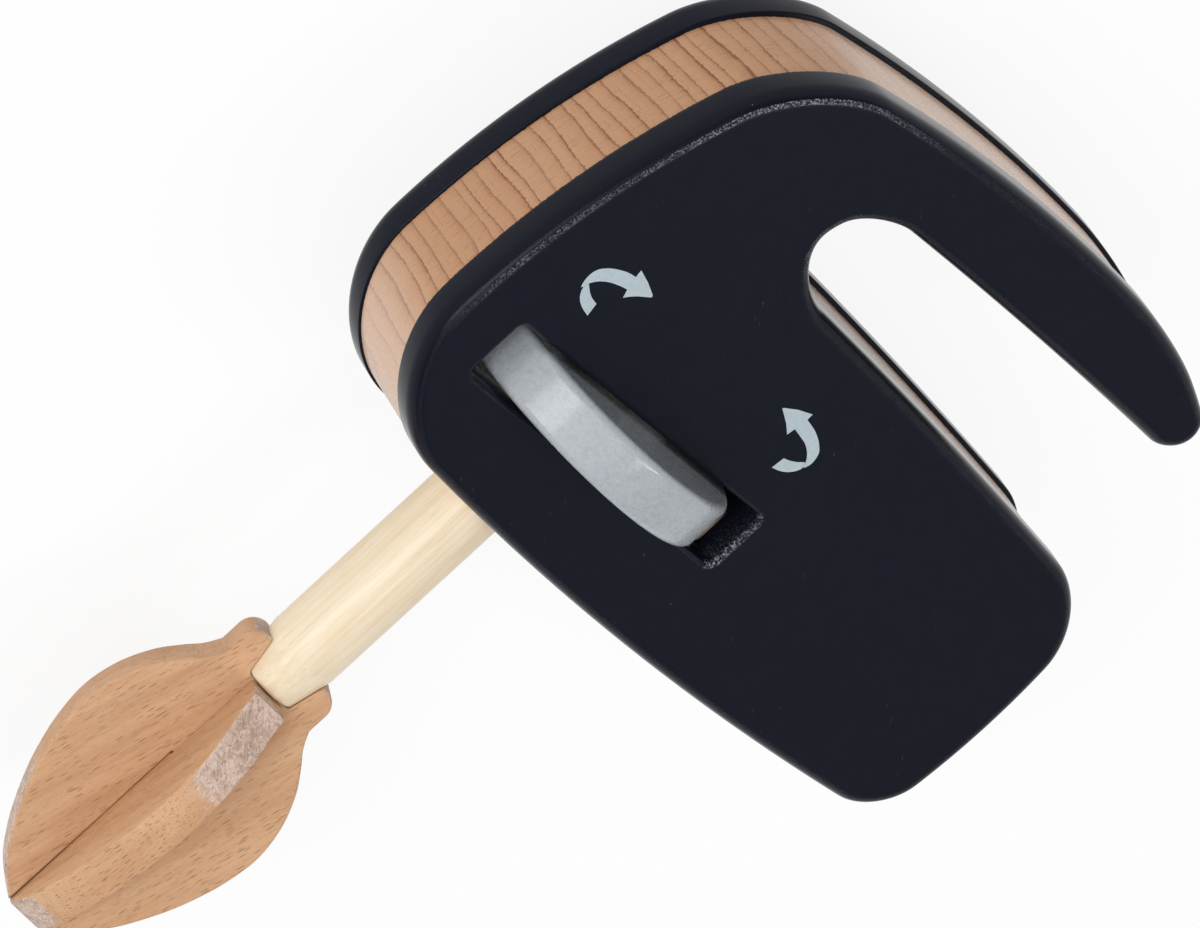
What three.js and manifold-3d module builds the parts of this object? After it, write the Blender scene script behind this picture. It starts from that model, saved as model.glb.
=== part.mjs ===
// Toy hand mixer: a three-layer wooden body with an open handle, a thumb wheel and a four-blade whisk.
// Lengths are in millimetres. The pieces are made about the wheel's middle, with the shaft along Y: X runs
// back to the heel, Y runs up to the handle and Z out of the front face.
import * as THREE from "three";
import { mergeVertices } from "three/addons/utils/BufferGeometryUtils.js";
import Module from "manifold-3d";

const wasm = await Module();
wasm.setup();

// The two painted plates and the bare wood between them.
const board = {
  coreThickness: 18.4,
  plateThickness: 7.2,
  coreSetback: 0.3, // the core stops this far inside the plates' edge
  faceRound: 3, // rounding of each plate's outer edge
  seamRound: 0.6, // rounding of each plate's edge beside the core
};

// The body seen from its front, as distances from the shaft's axis and the wheel's middle.
// A round is how far before and after a corner its curve starts, and a bow is how far a side swells.
const body = {
  noseReach: 47.7,
  noseDrop: 22.1,
  noseRound: 22.4,
  bellyBow: 4.5,
  heelReach: 112.5,
  heelDrop: 24.1,
  heelRound: 10,
  heelBow: 2.8,
  heelLean: 1, // the heel's upper corner lies this far forward of its lower one
  shoulderRound: 14.5,
  backBow: 1,
  browLean: 18.5, // the nose's upper corner lies this far behind its lower one
  browFall: 4.2, // and this far below the handle's bend
  browRound: 16.2,
  browBow: 9.2,
};

// The finger gap under the handle, open at the rear.
const gap = {
  start: 1.1, // the lower corner of its closed end, behind the shaft
  roofStart: 3.9,
  roofRise: 62.1, // the wheel's middle up to the gap's roof
  height: 20.2, // at the closed end
  flare: 9.4, // how much deeper the floor lies at the heel
  floorRound: 12,
  roofRound: 7.3,
  endBow: 5.2,
  roofBow: 0.7,
};

// The bar over the gap, whose tip hangs free.
const handle = {
  tipReach: 93.2,
  tipLean: 3, // the tip's upper corner lies this far behind its lower one
  tipHeight: 8.6,
  tipLowRound: 4.4,
  tipHighRound: 4.4,
  tipBow: 0.2,
  slopeBow: 0.6,
  bendReach: 73,
  depth: 17, // the roof of the gap up to the handle's bend
  bendRound: 16.3,
  topBow: 3.6,
};

// The opening for the wheel, cut through all three layers.
const slot = {
  endPlay: 4.1, // the wheel's rim out to each end of the opening
  sidePlay: 1, // each face of the wheel out to the opening's side
  cornerRound: 1.6,
  lipRound: 1.2, // rounding of the opening's edge on each painted face
};

const wheel = { radius: 32.2, thickness: 10.6, edgeRound: 1.6 };

const shaft = {
  radius: 7.5,
  bareLength: 49.2, // from the body's lowest point to the shaft's lower end
  blindLength: 13.7, // its upper end's reach into the core above the wheel's opening
  endRound: 1,
  taperLength: 9, // how far up from its lower end it thickens to its full radius
  taperEnd: 6.1, // its radius at the lower end
};

// Each whisk plate is a leaf outline cut from board.
const whisk = {
  radius: 21.9,
  leafHeight: 59.7,
  thickness: 7.7,
  edgeRound: 0.6,
  earWall: 3, // wood left outside the shaft's full radius
  earHeight: 7.6, // how far the ears stand above the shaft's lower end
  earRound: 3.8,
  lapHeight: 40, // length of the lower plate slot of the halved joint
  restTurn: THREE.MathUtils.degToRad(-24.4), // the whisk's turn about its shaft at rest
};

// Half outline of a leaf from neck to tip, as shares of the leaf's height and of the whisk's radius.
const leafShares = [
  [0.05, 0.56],
  [0.1, 0.66],
  [0.17, 0.775],
  [0.27, 0.9],
  [0.42, 1],
  [0.57, 0.965],
  [0.7, 0.855],
  [0.82, 0.67],
  [0.92, 0.44],
  [0.975, 0.27],
];
const tipShare = 0.17; // half width of the flat tip, as a share of the whisk's radius
const handleShare = 0.55; // how far a corner's curve follows its sides, as a share of its round
const bendShare = 0.9; // the most of the outline's sharpest bend that an edge's rounding takes

const runningPlay = 0.4; // between the turning shaft and its bore
const boreDepthPlay = 0.8; // past the shaft's upper end
const seatGap = 0.3; // between glued pieces that are cut round each other
const cutOverrun = 2; // how far a cut runs past the face it opens

const facets = { corner: 10, side: 12, round: 5, smallRound: 2, turn: 72, shaftTurn: 40, leaf: 26 };

const paint = { color: 0x14171c, roughness: 0.42, metalness: 0 };
const finishes = {
  front_plate: paint,
  back_plate: paint,
  wood_core: { color: 0xb98a64, roughness: 0.6, metalness: 0 },
  thumb_wheel: { color: 0x8f99a1, roughness: 0.4, metalness: 0.3 },
  whisk_shaft: { color: 0xf2dfc2, roughness: 0.5, metalness: 0 },
  whisk_plate_eared: { color: 0xc09468, roughness: 0.62, metalness: 0 },
  whisk_plate_crossing: { color: 0xc09468, roughness: 0.62, metalness: 0 },
};

const bodyFace = board.coreThickness / 2 + board.plateThickness;

// Corners of the body's outline, counterclockwise from the front. A bow is that of the side that follows.
const gapFloor = gap.roofRise - gap.height;
const handleTop = gap.roofRise + handle.depth;
const bodyCorners = [
  { x: -body.noseReach, y: -body.noseDrop, round: body.noseRound, bow: body.bellyBow },
  { x: body.heelReach, y: -body.heelDrop, round: body.heelRound, bow: body.heelBow },
  {
    x: body.heelReach - body.heelLean,
    y: gapFloor - gap.flare,
    round: body.shoulderRound,
    bow: body.backBow,
  },
  { x: gap.start, y: gapFloor, round: gap.floorRound, bow: -gap.endBow },
  { x: gap.roofStart, y: gap.roofRise, round: gap.roofRound, bow: -gap.roofBow },
  { x: handle.tipReach, y: gap.roofRise, round: handle.tipLowRound, bow: handle.tipBow },
  {
    x: handle.tipReach + handle.tipLean,
    y: gap.roofRise + handle.tipHeight,
    round: handle.tipHighRound,
    bow: handle.slopeBow,
  },
  { x: handle.bendReach, y: handleTop, round: handle.bendRound, bow: handle.topBow },
  {
    x: body.browLean - body.noseReach,
    y: handleTop - body.browFall,
    round: body.browRound,
    bow: body.browBow,
  },
];

// A side is a shallow arch from one corner to the next. A corner is a smooth blend between two sides, which
// starts one round away from the corner on either side and never takes more than half of the shorter one.
function outlineOf(corners) {
  const sides = corners.map((from, i) => {
    const to = corners[(i + 1) % corners.length];
    const a = new THREE.Vector2(from.x, from.y);
    const b = new THREE.Vector2(to.x, to.y);
    const length = a.distanceTo(b);
    const outward = new THREE.Vector2(b.y - a.y, a.x - b.x).divideScalar(length);
    const crown = a.clone().add(b).multiplyScalar(0.5).addScaledVector(outward, 2 * from.bow);
    const curve = new THREE.QuadraticBezierCurve(a, crown, b);
    return { curve, length, steps: from.bow ? facets.side : 1 };
  });
  const rounds = corners.map((corner, i) => {
    const before = sides[(i + sides.length - 1) % sides.length];
    return Math.min(corner.round, before.length / 2, sides[i].length / 2);
  });
  const points = [];
  const add = (curve, t) => {
    const at = curve.getPoint(t);
    const along = curve.getTangent(t);
    points.push({ x: at.x, y: at.y, nx: along.y, ny: -along.x });
  };
  sides.forEach((side, i) => {
    const next = (i + 1) % sides.length;
    const first = rounds[i] / side.length;
    const last = 1 - rounds[next] / side.length;
    const steps = Math.max(1, Math.round(side.steps * (last - first)));
    for (let k = 0; k < steps; k++) add(side.curve, first + ((last - first) * k) / steps);
    const after = rounds[next] / sides[next].length;
    const reach = handleShare * rounds[next];
    const leave = side.curve.getPoint(last);
    const meet = sides[next].curve.getPoint(after);
    const blend = new THREE.CubicBezierCurve(
      leave,
      leave.clone().addScaledVector(side.curve.getTangent(last), reach),
      meet.clone().addScaledVector(sides[next].curve.getTangent(after), -reach),
      meet,
    );
    for (let k = 0; k < facets.corner; k++) add(blend, k / facets.corner);
  });
  return points;
}

// The radius of the sharpest outward bend, which limits how far an edge can be rounded.
function sharpestBend(outline) {
  let least = Infinity;
  outline.forEach((p, i) => {
    const q = outline[(i + 1) % outline.length];
    const turn = Math.asin(THREE.MathUtils.clamp(p.nx * q.ny - p.ny * q.nx, -1, 1));
    const step = Math.hypot(q.x - p.x, q.y - p.y);
    if (turn > 0) least = Math.min(least, step / turn);
  });
  return least;
}

// A closed solid from rings of one outline, each drawn in by its own inset, from the lowest ring up.
function stack(outline, rings) {
  const count = outline.length;
  const positions = [];
  for (const { z, inset } of rings) {
    for (const p of outline) positions.push(p.x - inset * p.nx, p.y - inset * p.ny, z);
  }
  const index = [];
  for (let r = 0; r + 1 < rings.length; r++) {
    for (let i = 0; i < count; i++) {
      const a = r * count + i;
      const b = r * count + ((i + 1) % count);
      index.push(a, b, b + count, a, b + count, a + count);
    }
  }
  const cap = ({ inset }) => {
    const rim = outline.map((p) => new THREE.Vector2(p.x - inset * p.nx, p.y - inset * p.ny));
    return THREE.ShapeUtils.triangulateShape(rim, []);
  };
  const top = (rings.length - 1) * count;
  for (const [a, b, c] of cap(rings[0])) index.push(c, b, a);
  for (const [a, b, c] of cap(rings[rings.length - 1])) index.push(top + a, top + b, top + c);
  const geometry = new THREE.BufferGeometry();
  geometry.setAttribute("position", new THREE.Float32BufferAttribute(positions, 3));
  geometry.setIndex(index);
  return geometry;
}

// Rings of a quarter round that ends at height z. With side -1 it opens instead of closing.
function quarterRound(radius, z, steps, side = 1) {
  const rings = [];
  for (let k = 0; k <= steps; k++) {
    const angle = (Math.PI / 2) * (k / steps);
    rings.push({ z: z - radius * (1 - Math.sin(angle)), inset: side * radius * (1 - Math.cos(angle)) });
  }
  return rings;
}

function solidOf(geometry) {
  const bare = geometry.clone();
  bare.deleteAttribute("normal");
  bare.deleteAttribute("uv");
  const merged = mergeVertices(bare);
  return new wasm.Manifold(
    new wasm.Mesh({
      numProp: 3,
      vertProperties: merged.attributes.position.array,
      triVerts: new Uint32Array(merged.index.array),
    }),
  );
}

function geometryOf(solid) {
  const mesh = solid.getMesh();
  const geometry = new THREE.BufferGeometry();
  geometry.setAttribute("position", new THREE.Float32BufferAttribute(mesh.vertProperties, 3));
  geometry.setIndex(Array.from(mesh.triVerts));
  geometry.computeVertexNormals();
  return geometry;
}

// A round bar along the shaft's axis, from one height to another, that may taper to its lower end.
function roundBar(radius, low, high, lowRadius = radius) {
  const bar = new THREE.CylinderGeometry(radius, lowRadius, high - low, facets.shaftTurn);
  return bar.translate(0, (low + high) / 2, 0);
}

const bodyOutline = outlineOf(bodyCorners);
const slotHalfLength = wheel.radius + slot.endPlay;
const slotHalfWidth = wheel.thickness / 2 + slot.sidePlay;
const slotCorners = [
  [-1, -1],
  [1, -1],
  [1, 1],
  [-1, 1],
].map(([u, v]) => ({ x: u * slotHalfLength, y: v * slotHalfWidth, round: slot.cornerRound, bow: 0 }));
const slotOutline = outlineOf(slotCorners);

const bellyLow = Math.min(...bodyOutline.map((p) => p.y));
const shaftLow = bellyLow - shaft.bareLength;
const shaftHigh = slotHalfWidth + shaft.blindLength;

// A painted plate, well rounded at its face and slightly at its seam, with a slot that flares at the face.
function plate(side) {
  const seam = board.coreThickness / 2;
  const faceRound = Math.min(
    board.faceRound,
    board.plateThickness - board.seamRound,
    bendShare * sharpestBend(bodyOutline),
  );
  const flipped = (list) => list.map(({ z, inset }) => ({ z: -z, inset })).reverse();
  const rings = [
    ...flipped(quarterRound(board.seamRound, -seam, facets.smallRound)),
    ...quarterRound(faceRound, bodyFace, facets.round),
  ];
  const lip = quarterRound(slot.lipRound, bodyFace, facets.smallRound, -1);
  const cutRings = [
    { z: seam - cutOverrun, inset: 0 },
    ...lip,
    { z: bodyFace + cutOverrun, inset: lip[lip.length - 1].inset },
  ];
  const facing = (list) => (side > 0 ? list : flipped(list));
  return solidOf(stack(bodyOutline, facing(rings))).subtract(solidOf(stack(slotOutline, facing(cutRings))));
}

// The wood core, with the wheel's pocket through it and the shaft's bore, blind above the pocket.
function core() {
  const half = board.coreThickness / 2;
  const layer = (reach, inset) => [
    { z: -half - reach, inset },
    { z: half + reach, inset },
  ];
  const bore = roundBar(shaft.radius + runningPlay, bellyLow - cutOverrun, shaftHigh + boreDepthPlay);
  return solidOf(stack(bodyOutline, layer(0, board.coreSetback)))
    .subtract(solidOf(stack(slotOutline, layer(cutOverrun, 0))))
    .subtract(solidOf(bore));
}

// Points of a quarter circle about a centre, counterclockwise from the given angle.
function arcPoints(x, y, radius, from) {
  const points = [];
  for (let k = 0; k <= facets.round; k++) {
    const angle = from + (Math.PI / 2) * (k / facets.round);
    points.push(new THREE.Vector2(x + radius * Math.cos(angle), y + radius * Math.sin(angle)));
  }
  return points;
}

const boreRadius = shaft.radius + seatGap; // of a piece glued on the shaft

function wheelGeometry() {
  const half = wheel.thickness / 2;
  const round = Math.min(wheel.edgeRound, half);
  const profile = [
    new THREE.Vector2(boreRadius, -half),
    ...arcPoints(wheel.radius - round, -half + round, round, -Math.PI / 2),
    ...arcPoints(wheel.radius - round, half - round, round, 0),
    new THREE.Vector2(boreRadius, half),
    new THREE.Vector2(boreRadius, -half),
  ];
  return new THREE.LatheGeometry(profile, facets.turn);
}

function shaftGeometry() {
  const round = shaft.endRound;
  const profile = [
    new THREE.Vector2(0, shaftLow),
    ...arcPoints(shaft.taperEnd - round, shaftLow + round, round, -Math.PI / 2),
    new THREE.Vector2(shaft.radius, shaftLow + shaft.taperLength),
    ...arcPoints(shaft.radius - round, shaftHigh - round, round, 0),
    new THREE.Vector2(0, shaftHigh),
  ];
  return new THREE.LatheGeometry(profile, facets.shaftTurn);
}

const earReach = boreRadius + whisk.earWall;
const leafTop = shaftLow - seatGap;
const leafTip = leafTop - whisk.leafHeight;
const lapFloor = leafTip + whisk.lapHeight;
const lapWidth = whisk.thickness + 2 * seatGap;

// Half outline of a leaf from its neck down to its flat tip.
function leafSide() {
  const neck = new THREE.Vector2(earReach, leafTop);
  const tip = new THREE.Vector2(tipShare * whisk.radius, leafTip);
  const through = leafShares.map(
    ([down, out]) => new THREE.Vector2(out * whisk.radius, leafTop - down * whisk.leafHeight),
  );
  return new THREE.SplineCurve([neck, ...through, tip]).getPoints(facets.leaf);
}

// A whisk plate, standing in the XY plane. Its outline is mirrored about the shaft's axis.
function leafPlate(topSide) {
  const right = [...topSide, ...leafSide()];
  const left = right.map((p) => new THREE.Vector2(-p.x, p.y)).reverse();
  const round = whisk.edgeRound;
  const options = {
    depth: whisk.thickness - 2 * round,
    bevelThickness: round,
    bevelSize: round,
    bevelOffset: -round,
    bevelSegments: facets.smallRound,
  };
  const leaf = new THREE.ExtrudeGeometry(new THREE.Shape([...right, ...left]), options);
  return leaf.translate(0, 0, round - whisk.thickness / 2);
}

// Radius of the socket at a height above the shaft's lower end, where it follows the shaft's taper.
function socketRadius(above) {
  return seatGap + THREE.MathUtils.mapLinear(above, 0, shaft.taperLength, shaft.taperEnd, shaft.radius);
}

// The plate with ears on either side of the shaft, slotted from below.
function earedPlate() {
  const top = shaftLow + whisk.earHeight;
  const mouth = whisk.earHeight + cutOverrun;
  const round = Math.min(whisk.earRound, whisk.earHeight);
  const ear = arcPoints(earReach - round, top - round, round, 0).reverse();
  const socket = roundBar(socketRadius(mouth), leafTop, shaftLow + mouth, socketRadius(-seatGap));
  const low = leafTip - cutOverrun;
  const high = lapFloor + seatGap;
  const lap = new THREE.BoxGeometry(lapWidth, high - low, whisk.thickness + cutOverrun);
  lap.translate(0, (high + low) / 2, 0);
  return solidOf(leafPlate(ear)).subtract(solidOf(socket)).subtract(solidOf(lap));
}

// The plate that crosses it under the shaft's end, slotted from above.
function crossingPlate() {
  const high = leafTop + cutOverrun;
  const lap = new THREE.BoxGeometry(lapWidth, high - lapFloor, whisk.thickness + cutOverrun);
  lap.translate(0, (high + lapFloor) / 2, 0);
  return solidOf(leafPlate([])).subtract(solidOf(lap));
}

function piece(name, geometry) {
  const mesh = new THREE.Mesh(geometry, new THREE.MeshStandardMaterial(finishes[name]));
  mesh.name = name;
  return mesh;
}

const housing = new THREE.Group();
housing.add(
  piece("front_plate", geometryOf(plate(1))),
  piece("wood_core", geometryOf(core())),
  piece("back_plate", geometryOf(plate(-1))),
);

const crossing = piece("whisk_plate_crossing", geometryOf(crossingPlate()));
crossing.rotation.y = Math.PI / 2;
const whiskHead = new THREE.Group();
whiskHead.rotation.y = whisk.restTurn;
whiskHead.add(piece("whisk_plate_eared", geometryOf(earedPlate())), crossing);

const rotor = new THREE.Group();
rotor.add(piece("thumb_wheel", wheelGeometry()), piece("whisk_shaft", shaftGeometry()), whiskHead);

// The part's own origin is the middle of its base as it lies on its back.
const mixer = new THREE.Group();
mixer.add(housing, rotor);
const extent = new THREE.Box3().setFromObject(mixer, true);
mixer.position.set(
  -(extent.min.x + extent.max.x) / 2,
  -(extent.min.y + extent.max.y) / 2,
  -extent.min.z,
);

export default new THREE.Group().add(mixer);
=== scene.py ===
import math

import bmesh
import bpy
import numpy as np
from mathutils import Matrix, Vector
from mathutils.geometry import delaunay_2d_cdt


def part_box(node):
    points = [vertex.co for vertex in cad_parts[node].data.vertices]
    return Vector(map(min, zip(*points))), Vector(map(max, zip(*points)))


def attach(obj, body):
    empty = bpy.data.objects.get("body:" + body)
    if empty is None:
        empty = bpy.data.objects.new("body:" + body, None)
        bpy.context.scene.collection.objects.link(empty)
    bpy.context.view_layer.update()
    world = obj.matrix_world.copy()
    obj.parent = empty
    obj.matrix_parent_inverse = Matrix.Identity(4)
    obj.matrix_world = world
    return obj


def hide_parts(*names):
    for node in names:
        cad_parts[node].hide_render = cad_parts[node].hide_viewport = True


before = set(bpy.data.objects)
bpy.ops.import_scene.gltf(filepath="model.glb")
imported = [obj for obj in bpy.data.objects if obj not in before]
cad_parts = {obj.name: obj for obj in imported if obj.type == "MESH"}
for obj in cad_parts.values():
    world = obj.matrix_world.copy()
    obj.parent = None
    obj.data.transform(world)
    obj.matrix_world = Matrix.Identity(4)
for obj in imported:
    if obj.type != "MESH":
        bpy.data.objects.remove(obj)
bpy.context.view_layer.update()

# Shapes are worked out in millimetres about the wheel's middle: X to the heel, Y up the shaft to the handle
# and Z out of the front face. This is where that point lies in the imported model.
millimetre = 0.001
wheelMiddle = np.array(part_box("thumb_wheel")).mean(axis=0)
print("frame loaded, wheel's middle at", wheelMiddle.round(5).tolist())


# A quarter circle as rows of (height, inset) that end at the given height; with side -1 it opens outwards.
def quarterRound(radius, height, steps, side=1):
    angle = np.linspace(0, math.pi / 2, steps + 1)
    return np.stack([height - radius * (1 - np.sin(angle)), side * radius * (1 - np.cos(angle))], axis=1)


# A hand-sanded edge as rows of (height, inset): a quarter ellipse climbs from the wall until it tilts by the
# slope's tilt, and a wide arc, as wide as asked, carries it on until it is level at the given height.
def sandedEdge(width, depth, slopeWidth, slopeTilt, roundSteps, slopeSteps, height):
    angle = np.linspace(0, math.atan2(depth, width * math.tan(slopeTilt)), roundSteps + 1)
    ellipse = np.stack([depth * np.sin(angle), width * (1 - np.cos(angle))], axis=1)
    radius = slopeWidth / math.sin(slopeTilt)
    tilt = np.linspace(slopeTilt, 0, slopeSteps + 1)[1:]
    arc = radius * np.stack([np.cos(tilt) - math.cos(slopeTilt), math.sin(slopeTilt) - np.sin(tilt)], axis=1)
    rows = np.concatenate([ellipse, ellipse[-1] + arc])
    return rows + (height - rows[-1, 0], 0)


# A quarter circle in the plane about a centre, counterclockwise from the given angle.
def quarterArc(x, y, radius, start, steps):
    angle = start + np.linspace(0, math.pi / 2, steps + 1)
    return np.stack([x + radius * np.cos(angle), y + radius * np.sin(angle)], axis=1)


# A closed outline of bowed sides and blended corners, as points and outward normals. A side is the quadratic
# curve (1-t)^2 a + 2t(1-t) c + t^2 b, whose middle point c lies two bows outside the chord. A corner is the
# cubic curve that leaves one side and meets the next along their tangents, one round away from the corner.
def roundedOutline(corners, spacing, cornerSteps):
    follow = 0.55  # how far a corner's curve keeps to the side it leaves, as a share of its round
    table = np.array(corners, dtype=float)
    a, rounds, bows = table[:, :2], table[:, 2], table[:, 3]
    b = np.roll(a, -1, axis=0)
    length = np.hypot(*(b - a).T)
    outward = np.stack([b[:, 1] - a[:, 1], a[:, 0] - b[:, 0]], axis=1) / length[:, None]
    c = (a + b) / 2 + 2 * bows[:, None] * outward
    rounds = np.minimum(rounds, np.minimum(length, np.roll(length, 1)) / 2)

    def side(i, t):
        t = np.atleast_1d(t)[:, None]
        at = (1 - t) ** 2 * a[i] + 2 * t * (1 - t) * c[i] + t**2 * b[i]
        along = (1 - t) * (c[i] - a[i]) + t * (b[i] - c[i])
        return at, along / np.linalg.norm(along, axis=1)[:, None]

    points, tangents = [], []
    for i in range(len(table)):
        following = (i + 1) % len(table)
        first, last = rounds[i] / length[i], 1 - rounds[following] / length[i]
        steps = max(1, round((last - first) * length[i] / spacing))
        at, along = side(i, np.linspace(first, last, steps, endpoint=False))
        points.append(at)
        tangents.append(along)
        (leave,), (leaveAlong,) = side(i, last)
        (meet,), (meetAlong,) = side(following, rounds[following] / length[following])
        reach = follow * rounds[following]
        p = [leave, leave + reach * leaveAlong, meet - reach * meetAlong, meet]
        t = np.linspace(0, 1, cornerSteps, endpoint=False)[:, None]
        points.append((1 - t) ** 3 * p[0] + 3 * t * (1 - t) ** 2 * p[1] + 3 * t**2 * (1 - t) * p[2] + t**3 * p[3])
        along = (1 - t) ** 2 * (p[1] - p[0]) + 2 * t * (1 - t) * (p[2] - p[1]) + t**2 * (p[3] - p[2])
        tangents.append(along / np.linalg.norm(along, axis=1)[:, None])
    points, tangents = np.concatenate(points), np.concatenate(tangents)
    return points, np.stack([tangents[:, 1], -tangents[:, 0]], axis=1)


# The corner normals of a closed outline with its inside on the left, lengthened so that both edges beside a
# point move by one unit: the sum of their normals divided by one plus the cosine between them.
def cornerNormals(outline):
    along = np.roll(outline, -1, axis=0) - outline
    along /= np.linalg.norm(along, axis=1)[:, None]
    after = np.stack([along[:, 1], -along[:, 0]], axis=1)
    before = np.roll(after, 1, axis=0)
    return (before + after) / (1 + np.sum(before * after, axis=1))[:, None]


# A smooth curve through points: cubic pieces whose slope at a point is half the step between its neighbours.
def smoothCurve(through, steps):
    through = np.asarray(through, dtype=float)
    padded = np.concatenate([through[:1], through, through[-1:]])
    place = np.linspace(0, len(through) - 1, steps + 1)
    i = np.minimum(place.astype(int), len(through) - 2)
    t = (place - i)[:, None]
    p0, p1, p2, p3 = (padded[i + k] for k in range(4))
    v0, v1 = (p2 - p0) / 2, (p3 - p1) / 2
    return (2 * p1 - 2 * p2 + v0 + v1) * t**3 + (-3 * p1 + 3 * p2 - 2 * v0 - v1) * t**2 + v0 * t + p1


# Four-cornered faces of a grid of points, whose last column joins the first.
def gridFaces(rows, columns):
    index = np.arange(rows * columns).reshape(rows, columns)
    index = np.column_stack([index, index[:, :1]])
    return np.stack([index[:-1, :-1], index[:-1, 1:], index[1:, 1:], index[1:, :-1]], axis=-1).reshape(-1, 4)


# An outline carried through rows of (height, inset): at each row it moves in along its normals by the inset.
def carried(outline, normals, rows):
    rows = np.asarray(rows, dtype=float)
    flat = outline[None] - rows[:, 1][:, None, None] * normals[None]
    height = np.broadcast_to(rows[:, 0][:, None, None], flat.shape[:2] + (1,))
    return np.concatenate([flat, height], axis=2)


# A grid of points as a shell: its points in one row, and its faces.
def gridShell(grid):
    return grid.reshape(-1, 3), gridFaces(*grid.shape[:2])


# Whether each point is inside a closed loop: a line from it to the left crosses the loop an odd number of times.
def insideLoop(points, loop):
    a, b = loop[None], np.roll(loop, -1, axis=0)[None]
    x, y = points[:, :1], points[:, 1:2]
    spans = (a[..., 1] > y) != (b[..., 1] > y)
    rise = np.where(spans, b[..., 1] - a[..., 1], 1)
    crossing = a[..., 0] + (y - a[..., 1]) * (b[..., 0] - a[..., 0]) / rise
    return np.sum(spans & (crossing < x), axis=1) % 2 == 1


# Triangles between an outer loop and the holes in it, from their points in space and in the plane they lie in.
def filledShell(loops, plane=(0, 1)):
    wholeHull, sameDistance = 0, 1e-6
    points = np.concatenate(loops)
    flat = [Vector(place) for place in points[:, plane]]
    starts = np.cumsum([0] + [len(loop) for loop in loops])
    edges = [np.column_stack([loop, np.roll(loop, -1)]) for loop in map(np.arange, starts[:-1], starts[1:])]
    edges = np.concatenate(edges).tolist()
    vertices, _, triangles, _, _, _ = delaunay_2d_cdt(flat, edges, [], wholeHull, sameDistance)
    triangles = np.array(triangles)
    middles = np.array(vertices)[triangles].mean(axis=1)
    kept = insideLoop(middles, loops[0][:, plane])
    for hole in loops[1:]:
        kept &= ~insideLoop(middles, hole[:, plane])
    return points, triangles[kept]


# A profile of (radius, height) turned about the shaft's axis.
def turned(profile, segments):
    angle = np.linspace(0, 2 * math.pi, segments, endpoint=False)[None, :]
    radius, height = np.asarray(profile).T[:, :, None]
    height = np.broadcast_to(height, (len(profile), segments))
    return gridShell(np.stack([radius * np.sin(angle), height, radius * np.cos(angle)], axis=2))


# The place or the normal of each point or face of a mesh, as rows of three.
def readTriples(parts, key):
    values = np.empty(3 * len(parts))
    parts.foreach_get(key, values)
    return values.reshape(-1, 3)


# Shells become one closed mesh: they are welded where they meet and its faces are turned outwards. Each named
# attribute is worked out from the points and their normals. A tilted finish goes with a flatness, and covers
# the faces whose normal has less than that share along Z. Where several would, the last one does.
def makePiece(name, shells, finish, body, standsFor=(), attributes=None, tiltedFinishes=()):
    weldDistance, sharpAngle = 0.002, math.radians(35)
    starts = np.cumsum([0] + [len(points) for points, faces in shells])
    faces = [face for start, (points, faces) in zip(starts, shells) for face in (start + faces).tolist()]
    mesh = bpy.data.meshes.new(name)
    mesh.from_pydata(np.concatenate([points for points, faces in shells]).tolist(), [], faces)
    welded = bmesh.new()
    welded.from_mesh(mesh)
    bmesh.ops.remove_doubles(welded, verts=welded.verts, dist=weldDistance)
    bmesh.ops.recalc_face_normals(welded, faces=welded.faces)
    openEdges = sum(not edge.is_manifold for edge in welded.edges)
    welded.to_mesh(mesh)
    welded.free()
    place, normal = readTriples(mesh.vertices, "co"), readTriples(mesh.vertices, "normal")
    for key, worth in (attributes or {}).items():
        values = worth(place, normal).astype(np.float32)
        mesh.attributes.new(key, "FLOAT", "POINT").data.foreach_set("value", values)
    mesh.vertices.foreach_set("co", (wheelMiddle + millimetre * place).ravel())
    mesh.polygons.foreach_set("use_smooth", np.ones(len(mesh.polygons), dtype=bool))
    mesh.set_sharp_from_angle(angle=sharpAngle)
    mesh.materials.append(finish)
    mesh.update()
    facing = np.abs(readTriples(mesh.polygons, "normal")[:, 2])
    which = np.zeros(len(facing), dtype=np.int32)
    for flatness, tiltedFinish in tiltedFinishes:
        mesh.materials.append(tiltedFinish)
        which[facing < flatness] = len(mesh.materials) - 1
    mesh.polygons.foreach_set("material_index", which)
    piece = bpy.data.objects.new(name, mesh)
    bpy.context.scene.collection.objects.link(piece)
    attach(piece, body)
    if standsFor:
        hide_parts(*standsFor)
    print(name, len(mesh.vertices), "points,", openEdges, "open edges")


# A feed is either another node's output or a plain value for an input of this node.
def feed(node, feeds):
    for key, value in feeds.items():
        if isinstance(value, bpy.types.NodeSocket):
            node.id_data.links.new(value, node.inputs[key])
        else:
            node.inputs[key].default_value = value


def addNode(tree, kind, feeds=None, **settings):
    node = tree.nodes.new("ShaderNode" + kind)
    for key, value in settings.items():
        setattr(node, key, value)
    feed(node, feeds or {})
    return node


# A new finish, its tree and its shader, with what is the same all over set on the shader itself.
def newFinish(name, roughness, specular, coat=0, coatRoughness=0.2):
    finish = bpy.data.materials.new(name)
    finish.use_nodes = True
    shader = finish.node_tree.nodes["Principled BSDF"]
    feed(shader, {"Roughness": roughness, "Specular IOR Level": specular, "Coat Weight": coat,
                  "Coat Roughness": coatRoughness})
    return finish, finish.node_tree, shader


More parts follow.
